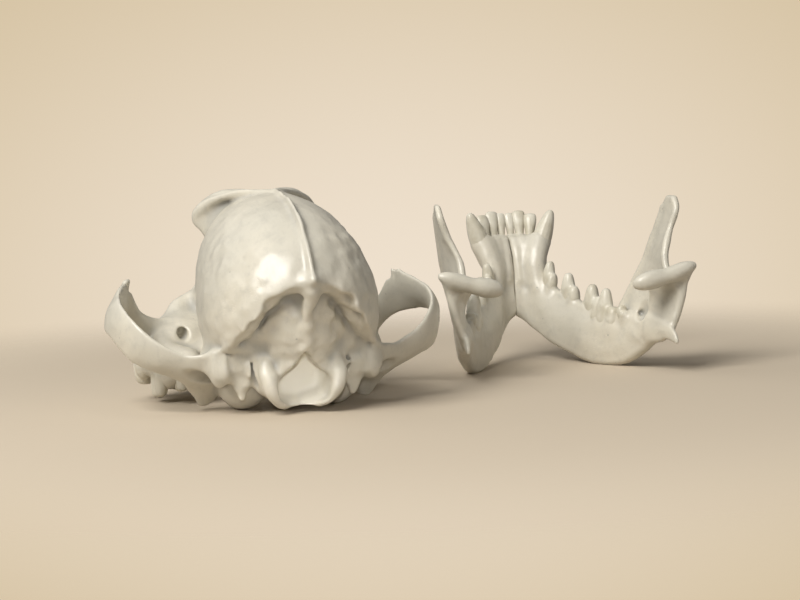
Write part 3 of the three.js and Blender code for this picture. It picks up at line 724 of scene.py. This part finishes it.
def setTeeth(name, teeth, place, sides):
    copies = []
    for side in sides:
        for tooth in teeth.values():
            data = crowns[tooth["crown"]].data.copy()
            lean = Vector(tooth["lean"]).normalized()
            down = math.copysign(1, lean.z)
            stand = Vector((0, 0, down)).rotation_difference(lean).to_matrix().to_4x4()
            wide, long, tall = tooth["size"]
            matrix = (
                place
                @ Matrix.Scale(side, 4, (1, 0, 0))
                @ Matrix.Translation(tooth["at"])
                @ stand
                @ Matrix.Rotation(math.radians(tooth["turn"]), 4, "Z")
                @ Matrix.Diagonal((wide, long, tall * down, 1))
            )
            data.transform(matrix)
            if matrix.determinant() < 0:
                data.flip_normals()
            piece = bpy.data.objects.new(name, data)
            bpy.context.scene.collection.objects.link(piece)
            copies.append(piece)
    bpy.ops.object.select_all(action="DESELECT")
    for piece in copies:
        piece.select_set(True)
    bpy.context.view_layer.objects.active = copies[0]
    bpy.ops.object.join()
    return copies[0]


teethUpper = setTeeth("teethUpper", upperTeeth, craniumMatrix, (1, -1))
teethLowerRight = setTeeth("teethLowerRight", lowerTeeth, jawMatrix, (1,))
teethLowerLeft = setTeeth("teethLowerLeft", lowerTeeth, jawMatrix, (-1,))
for crown in crowns.values():
    bpy.data.objects.remove(crown)
print("teeth set", [len(o.data.polygons) for o in (teethUpper, teethLowerRight, teethLowerLeft)])


# Finishes
class Value:
    def __init__(self, tree, socket):
        self.tree, self.socket = tree, socket

    def math(self, operation, first, second):
        return node(self.tree, "ShaderNodeMath", {"operation": operation}, {0: first, 1: second})

    def __add__(self, other):
        return self.math("ADD", self, other)

    def __radd__(self, other):
        return self.math("ADD", other, self)

    def __sub__(self, other):
        return self.math("SUBTRACT", self, other)

    def __rsub__(self, other):
        return self.math("SUBTRACT", other, self)

    def __mul__(self, other):
        return self.math("MULTIPLY", self, other)

    def __rmul__(self, other):
        return self.math("MULTIPLY", other, self)


def node(tree, kind, settings=None, sockets=None, out=0):
    made = tree.nodes.new(kind)
    for key, value in (settings or {}).items():
        setattr(made, key, value)
    for key, value in (sockets or {}).items():
        if isinstance(value, Value):
            tree.links.new(value.socket, made.inputs[key])
        else:
            made.inputs[key].default_value = value
    return None if out is None else Value(tree, made.outputs[out])


def newFinish(name):
    finish = bpy.data.materials.new(name)
    finish.use_nodes = True
    tree = finish.node_tree
    return finish, tree, tree.nodes["Principled BSDF"]


def noise(tree, where, scale, detail=3.0, roughness=0.5):
    settings = {"Vector": where, "Scale": scale, "Detail": detail, "Roughness": roughness}
    return node(tree, "ShaderNodeTexNoise", {}, settings)


def cells(tree, where, scale):
    # distance to the middle of the nearest cell
    return node(tree, "ShaderNodeTexVoronoi", {"feature": "F1"}, {"Vector": where, "Scale": scale})


def between(tree, value, low, high):
    return node(tree, "ShaderNodeMapRange", {"interpolation_type": "SMOOTHSTEP"},
                {"Value": value, "From Min": low, "From Max": high})


def mixColour(tree, factor, first, second):
    return node(tree, "ShaderNodeMix", {"data_type": "RGBA"}, {0: factor, 6: first, 7: second}, out=2)


boneTones = {
    "ivory": (0.61, 0.575, 0.485, 1),
    "grey": (0.54, 0.515, 0.44, 1),
    # the bone's own stain tone, also painted into small recesses as shade
    "stainAndShade": (0.295, 0.292, 0.268, 1),
    # tone painted into the large hollows as shade
    "paintedHollowShade": (0.305, 0.302, 0.28, 1),
    # tone painted on raised edges as light
    "paintedEdgeLight": (0.70, 0.67, 0.585, 1),
    # tone painted inside the doors as light
    "paintedLightInside": (0.86, 0.83, 0.74, 1),
}
boneGrain = {
    # scales of the patterns, and how deep and how glossy they are
    "broad": 38.0,
    "mottle": 240.0,
    "fine": 1000.0,
    "streaks": 900.0,
    "streakStretch": (1.0, 0.16, 0.5),
    "pores": 1100.0,
    "vessels": 210.0,
    "bump": 0.25,
    "bumpDepth": 0.0006,
    "gloss": 0.65,
}


def makeBone():
    finish, tree, shader = newFinish("bone")
    where = node(tree, "ShaderNodeTexCoord", out=3)
    relief = node(tree, "ShaderNodeAttribute", {"attribute_name": "relief"}, out=2)
    hollow = node(tree, "ShaderNodeAttribute", {"attribute_name": "hollow"}, out=2)
    paintedLightInside = node(tree, "ShaderNodeAttribute", {"attribute_name": "paintedLightInside"}, out=2)
    broad = noise(tree, where, boneGrain["broad"], 4.0, 0.55)
    mottle = noise(tree, where, boneGrain["mottle"], 4.0, 0.6)
    fine = noise(tree, where, boneGrain["fine"], 3.0, 0.6)
    along = node(tree, "ShaderNodeMapping", {}, {"Vector": where, "Scale": boneGrain["streakStretch"]})
    streaks = noise(tree, along, boneGrain["streaks"], 3.0, 0.55)
    pores = cells(tree, where, boneGrain["pores"])
    pit = between(tree, pores, 0.28, 0.12) * between(tree, broad, 0.46, 0.62)
    vessels = cells(tree, where, boneGrain["vessels"])
    vessel = between(tree, vessels, 0.085, 0.05) * between(tree, mottle, 0.46, 0.56)
    colour = mixColour(tree, between(tree, broad, 0.35, 0.65), boneTones["grey"], boneTones["ivory"])
    colour = mixColour(tree, between(tree, mottle, 0.48, 0.75) * 0.22, colour, boneTones["stainAndShade"])
    colour = mixColour(tree, between(tree, streaks, 0.52, 0.72) * 0.12, colour, boneTones["stainAndShade"])
    # painted shade: the large hollows are darkened
    colour = mixColour(tree, between(tree, hollow, 0.05, -0.9) * 0.75, colour, boneTones["paintedHollowShade"])
    # painted shade: the small recesses are darkened with the stain tone
    colour = mixColour(tree, between(tree, relief, 0.05, -0.9) * 0.65, colour, boneTones["stainAndShade"])
    # painted light: the raised edges are lightened
    colour = mixColour(tree, between(tree, relief, 0.1, 0.9) * 0.3, colour, boneTones["paintedEdgeLight"])
    colour = mixColour(tree, vessel * 0.6, colour, boneTones["stainAndShade"])
    # painted light: the walls inside the doors are made pale
    colour = mixColour(tree, paintedLightInside, colour, boneTones["paintedLightInside"])
    tree.links.new(colour.socket, shader.inputs["Base Color"])
    rough = 0.26 + 0.16 * mottle + 0.2 * pit
    tree.links.new(rough.socket, shader.inputs["Roughness"])
    height = 0.45 * mottle + 0.25 * fine + 0.2 * streaks - 0.5 * pit - 0.9 * vessel
    raised = {"Height": height, "Strength": boneGrain["bump"], "Distance": boneGrain["bumpDepth"]}
    bump = node(tree, "ShaderNodeBump", {}, raised)
    tree.links.new(bump.socket, shader.inputs["Normal"])
    shader.inputs["Specular IOR Level"].default_value = boneGrain["gloss"]
    return finish


toothTones = {"enamel": (0.64, 0.615, 0.53, 1), "neck": (0.50, 0.465, 0.37, 1)}
toothGrain = {"broad": 160.0, "streak": 700.0, "bump": 0.12, "bumpDepth": 0.0003}


def makeTooth():
    finish, tree, shader = newFinish("tooth")
    where = node(tree, "ShaderNodeTexCoord", out=3)
    broad = noise(tree, where, toothGrain["broad"], 3.0, 0.5)
    streak = noise(tree, where, toothGrain["streak"], 2.0, 0.5)
    colour = mixColour(tree, between(tree, broad, 0.35, 0.7), toothTones["enamel"], toothTones["neck"])
    tree.links.new(colour.socket, shader.inputs["Base Color"])
    tree.links.new((0.26 + 0.14 * broad).socket, shader.inputs["Roughness"])
    raised = {"Height": streak, "Strength": toothGrain["bump"], "Distance": toothGrain["bumpDepth"]}
    bump = node(tree, "ShaderNodeBump", {}, raised)
    tree.links.new(bump.socket, shader.inputs["Normal"])
    return finish


reliefScales = (("relief", 10, 0.0006), ("hollow", 60, 0.0016))  # rounds of evening, full depth in metres
reliefRounds = 7


def keepRelief(piece):
    # how far each point stands out of (+) or lies below (-) the points round it
    data = piece.data
    count = len(data.vertices)
    place = np.zeros(count * 3)
    data.vertices.foreach_get("co", place)
    place = place.reshape(-1, 3)
    normal = np.zeros(count * 3)
    data.vertices.foreach_get("normal", normal)
    normal = normal.reshape(-1, 3)
    pairs = np.zeros(len(data.edges) * 2, int)
    data.edges.foreach_get("vertices", pairs)
    pairs = pairs.reshape(-1, 2)
    links = np.bincount(pairs.ravel(), minlength=count).clip(1)

    def spread(values):
        total = np.bincount(pairs[:, 0], values[pairs[:, 1]], count)
        return (total + np.bincount(pairs[:, 1], values[pairs[:, 0]], count)) / links

    flat = place
    for name, turns, depth in reliefScales:
        for _ in range(turns):
            flat = np.stack([spread(flat[:, i]) for i in range(3)], 1)
        out = ((place - flat) * normal).sum(1)
        for _ in range(reliefRounds):
            out = 0.5 * out + 0.5 * spread(out)
        layer = data.attributes.new(name, "FLOAT", "POINT")
        layer.data.foreach_set("value", np.clip(out / depth, -1, 1))


paintedLightDepths = {"brainDoor": (5, 10), "eyeDoor": (63, 65)}  # painted light, paler from the first to the second depth


def paintLightInside(piece):
    # the pale colour painted on the walls inside the doors as light shining in
    spots = np.array([craniumMatrix.inverted() @ v.co for v in piece.data.vertices])
    x, y, z = spots.T
    pale = np.zeros(len(spots))
    for name, (start, full) in paintedLightDepths.items():
        low, high, far = craniumForm[name][1]
        wall = np.clip(1.6 - np.abs(far(np.abs(x), y, z)), 0, 1)
        deep = np.clip((y - start) / (full - start), 0, 1)
        near = (np.abs(x) < high[0] + 2) & (y < high[1] + 4) & (z > low[2]) & (z < high[2] + 2)
        pale = np.maximum(pale, wall * deep * near)
    piece.data.attributes.new("paintedLightInside", "FLOAT", "POINT").data.foreach_set("value", pale)


bone = makeBone()
tooth = makeTooth()
paintLightInside(cranium)
pieces = {
    cranium: (bone, ["braincase", "occiput", "upper_jaw", "zygomatic_arch_left", "zygomatic_arch_right"]),
    jawRight: (bone, ["mandible_right"]),
    jawLeft: (bone, ["mandible_left"]),
    teethUpper: (tooth, []),
    teethLowerRight: (tooth, []),
    teethLowerLeft: (tooth, []),
}
for piece, (finish, nodes) in pieces.items():
    piece.data.materials.clear()
    piece.data.materials.append(finish)
    if finish is bone:
        keepRelief(piece)
    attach(piece, "root")
    if nodes:
        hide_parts(*nodes)
print("finishes on")

# Stage: a pale floor that runs into the backdrop, with a soft pool of light, and studio lamps
stage = {
    "middle": (0.855, 0.745, 0.61, 1),
    "rim": (0.637, 0.512, 0.328, 1),
    "floor": (0.535, 0.464, 0.37, 1),
    "ambient": (0.9, 0.89, 0.87, 1),
    "ambientStrength": 0.17,
    "poolAhead": (0.283, 0.956, -0.078),
    "poolSpread": (1, 1, 1.5),
    "pool": (0.42, 0.0),
    "floorEnds": (0.36, 0.14),
}
lights = {
    "key": {"at": (-0.77, -0.56, 0.89), "size": 0.7, "power": 19.5, "colour": (1, 0.97, 0.92)},
    "rear": {"at": (-0.598, 0.558, 0.988), "size": 1.2, "power": 3.0, "colour": (1, 0.97, 0.92)},
    "fill": {"at": (0.557, -1.028, 0.458), "size": 0.6, "power": 1.5, "colour": (1, 0.96, 0.9)},
    "top": {"at": (-0.03, -0.1, 1.28), "size": 0.5, "power": 1.2, "colour": (1, 0.97, 0.92)},
}
snoot = {
    # a narrow lamp that looks into the brain's door
    "at": (-0.2, -0.66, 0.14),
    "aim": (-0.047, -0.05, 0.011),
    "cone": 4.2,
    "power": 8.5,
    "size": 0.02,
}
lightTarget = Vector((-0.03, -0.01, 0.03))


def vectorMath(tree, operation, first, second):
    return node(tree, "ShaderNodeVectorMath", {"operation": operation}, {0: first, 1: second})


def vectorLength(tree, vector):
    return node(tree, "ShaderNodeVectorMath", {"operation": "LENGTH"}, {0: vector}, out=1)


def makeStage():
    bpy.ops.object.select_all(action="DESELECT")
    bpy.ops.mesh.primitive_circle_add(vertices=96, radius=0.6, fill_type="NGON", location=(0, 0, 0))
    floor = bpy.context.object
    floor.name = "floor"
    finish, tree, shader = newFinish("paleFloor")
    where = node(tree, "ShaderNodeTexCoord", out=3)
    away = vectorLength(tree, where)
    shader.inputs["Base Color"].default_value = stage["floor"]
    shader.inputs["Roughness"].default_value = 0.9
    shader.inputs["Specular IOR Level"].default_value = 0.0
    tree.links.new(between(tree, away, *stage["floorEnds"]).socket, shader.inputs["Alpha"])
    floor.data.materials.append(finish)


def makeBackdrop():
    world = bpy.data.worlds.new("backdrop")
    bpy.context.scene.world = world
    world.use_nodes = True
    tree = world.node_tree
    tree.nodes.clear()
    heading = node(tree, "ShaderNodeTexCoord", out=0)
    aside = vectorMath(tree, "SUBTRACT", heading, stage["poolAhead"])
    spread = vectorMath(tree, "MULTIPLY", aside, stage["poolSpread"])
    away = vectorLength(tree, spread)
    tone = mixColour(tree, between(tree, away, *stage["pool"]), stage["rim"], stage["middle"])
    seen = node(tree, "ShaderNodeBackground", {}, {"Color": tone, "Strength": 1.0})
    glow = {"Color": stage["ambient"], "Strength": stage["ambientStrength"]}
    cast = node(tree, "ShaderNodeBackground", {}, glow)
    direct = node(tree, "ShaderNodeLightPath", out=0)
    either = node(tree, "ShaderNodeMixShader", {}, {0: direct, 1: cast, 2: seen})
    node(tree, "ShaderNodeOutputWorld", {}, {"Surface": either}, out=None)


def makeLights():
    spot = bpy.data.objects.new("snoot", bpy.data.lights.new("snoot", "SPOT"))
    bpy.context.scene.collection.objects.link(spot)
    spot.data.energy = snoot["power"]
    spot.data.shadow_soft_size = snoot["size"]
    spot.data.spot_size = math.radians(snoot["cone"])
    spot.data.spot_blend = 1.0
    spot.location = snoot["at"]
    spot.rotation_mode = "QUATERNION"
    spot.rotation_quaternion = (Vector(snoot["aim"]) - spot.location).to_track_quat("-Z", "Y")
    for name, light in lights.items():
        lamp = bpy.data.objects.new(name, bpy.data.lights.new(name, "AREA"))
        bpy.context.scene.collection.objects.link(lamp)
        lamp.data.size = light["size"]
        lamp.data.energy = light["power"]
        lamp.data.color = light["colour"]
        lamp.location = light["at"]
        lamp.rotation_mode = "QUATERNION"
        lamp.rotation_quaternion = (lightTarget - lamp.location).to_track_quat("-Z", "Y")


makeStage()
makeBackdrop()
makeLights()
bpy.context.scene.view_settings.view_transform = "Standard"
print("stage lit")
